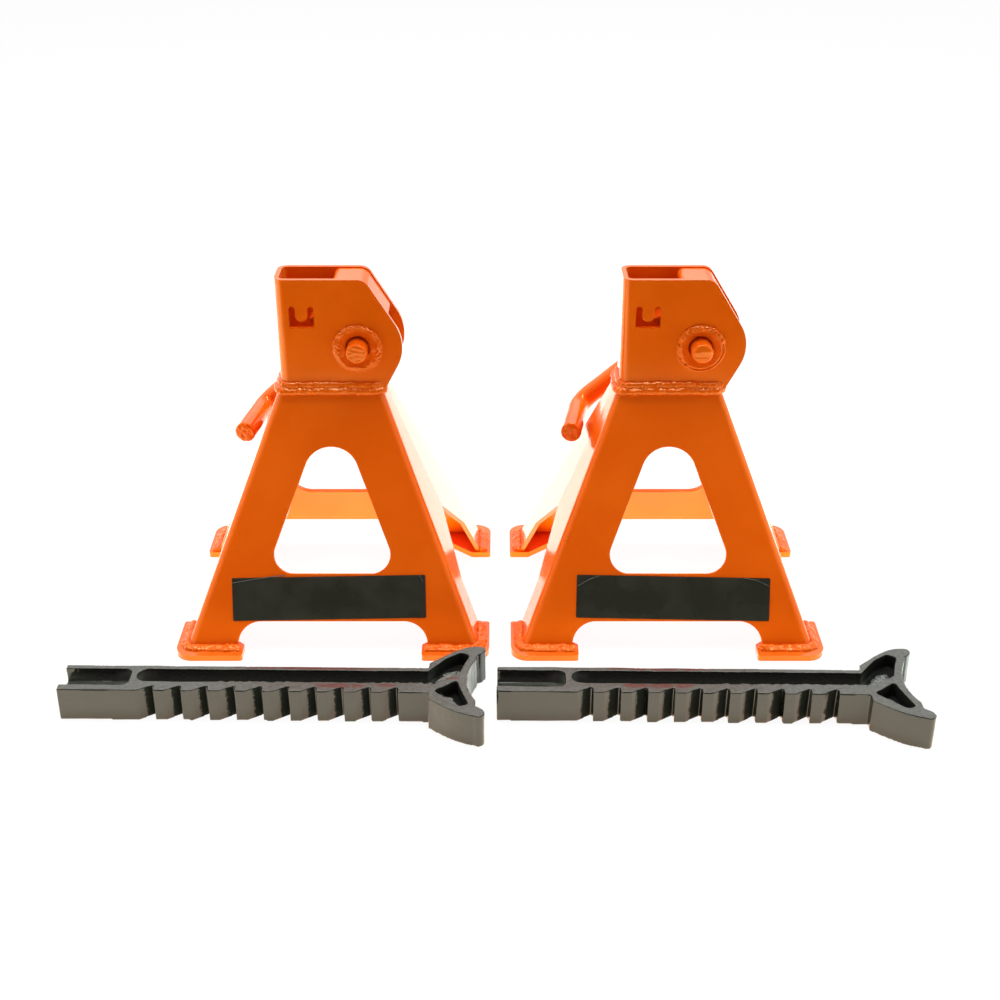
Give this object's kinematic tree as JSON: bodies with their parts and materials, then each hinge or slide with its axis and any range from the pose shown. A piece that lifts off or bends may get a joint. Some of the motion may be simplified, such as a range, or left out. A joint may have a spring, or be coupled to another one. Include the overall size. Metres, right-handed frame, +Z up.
{
  "type": "axle jack stands",
  "caption": "Ratchet axle stands: pressed pyramid leg frames with a sleeve and pawl lever on top, and their cast toothed bars with forked saddles lying beside them.",
  "frame": {"origin": "middle of the floor under the whole set", "axes": "+X to the right across the two stands, +Y to the back, +Z up from the floor"},
  "size_m": [0.5161, 0.2665, 0.2284],
  "materials": {
    "stand_paint": "gloss powder coat",
    "bar_enamel": "gloss black enamel over rough casting",
    "label": "satin film"
  },
  "bodies": {
    "left_stand": {"left_frame_front": "stand_paint", "left_frame_rear": "stand_paint", "left_seam_weld_l": "stand_paint", "left_seam_weld_r": "stand_paint", "left_sleeve": "stand_paint", "left_guide_strip": "stand_paint", "left_neck_weld": "stand_paint", "left_bush_front": "stand_paint", "left_bush_rear": "stand_paint", "left_bush_weld_front": "stand_paint", "left_bush_weld_rear": "stand_paint", "left_foot_fl": "stand_paint", "left_foot_fr": "stand_paint", "left_foot_rl": "stand_paint", "left_foot_rr": "stand_paint", "left_foot_weld_fl": "stand_paint", "left_foot_weld_fr": "stand_paint", "left_foot_weld_rl": "stand_paint", "left_foot_weld_rr": "stand_paint", "left_label": "label"},
    "left_lever": {"left_pawl": "stand_paint", "left_handle": "stand_paint"},
    "left_bar": {"left_ratchet_bar": "bar_enamel"},
    "right_stand": {"right_frame_front": "stand_paint", "right_frame_rear": "stand_paint", "right_seam_weld_l": "stand_paint", "right_seam_weld_r": "stand_paint", "right_sleeve": "stand_paint", "right_guide_strip": "stand_paint", "right_neck_weld": "stand_paint", "right_bush_front": "stand_paint", "right_bush_rear": "stand_paint", "right_bush_weld_front": "stand_paint", "right_bush_weld_rear": "stand_paint", "right_foot_fl": "stand_paint", "right_foot_fr": "stand_paint", "right_foot_rl": "stand_paint", "right_foot_rr": "stand_paint", "right_foot_weld_fl": "stand_paint", "right_foot_weld_fr": "stand_paint", "right_foot_weld_rl": "stand_paint", "right_foot_weld_rr": "stand_paint", "right_label": "label"},
    "right_lever": {"right_pawl": "stand_paint", "right_handle": "stand_paint"},
    "right_bar": {"right_ratchet_bar": "bar_enamel"}
  },
  "joints": [
    {"name": "left_lever_turn", "type": "hinge", "parent": "left_stand", "child": "left_lever", "pos_m": [-0.08359, 0.04804, 0.1836], "axis": [0, 1, 0], "range_deg": [0, 40]},
    {"name": "right_stand_lift", "type": "slide", "parent": "left_stand", "child": "right_stand", "axis": [0, 0, 1], "range_m": [0, 0.3]},
    {"name": "right_lever_turn", "type": "hinge", "parent": "right_stand", "child": "right_lever", "pos_m": [0.13031, 0.04804, 0.1836], "axis": [0, 1, 0], "range_deg": [0, 40]},
    {"name": "left_bar_lift", "type": "slide", "parent": "left_stand", "child": "left_bar", "axis": [0, 0, 1], "range_m": [0, 0.3]},
    {"name": "right_bar_lift", "type": "slide", "parent": "left_stand", "child": "right_bar", "axis": [0, 0, 1], "range_m": [0, 0.3]}
  ]
}
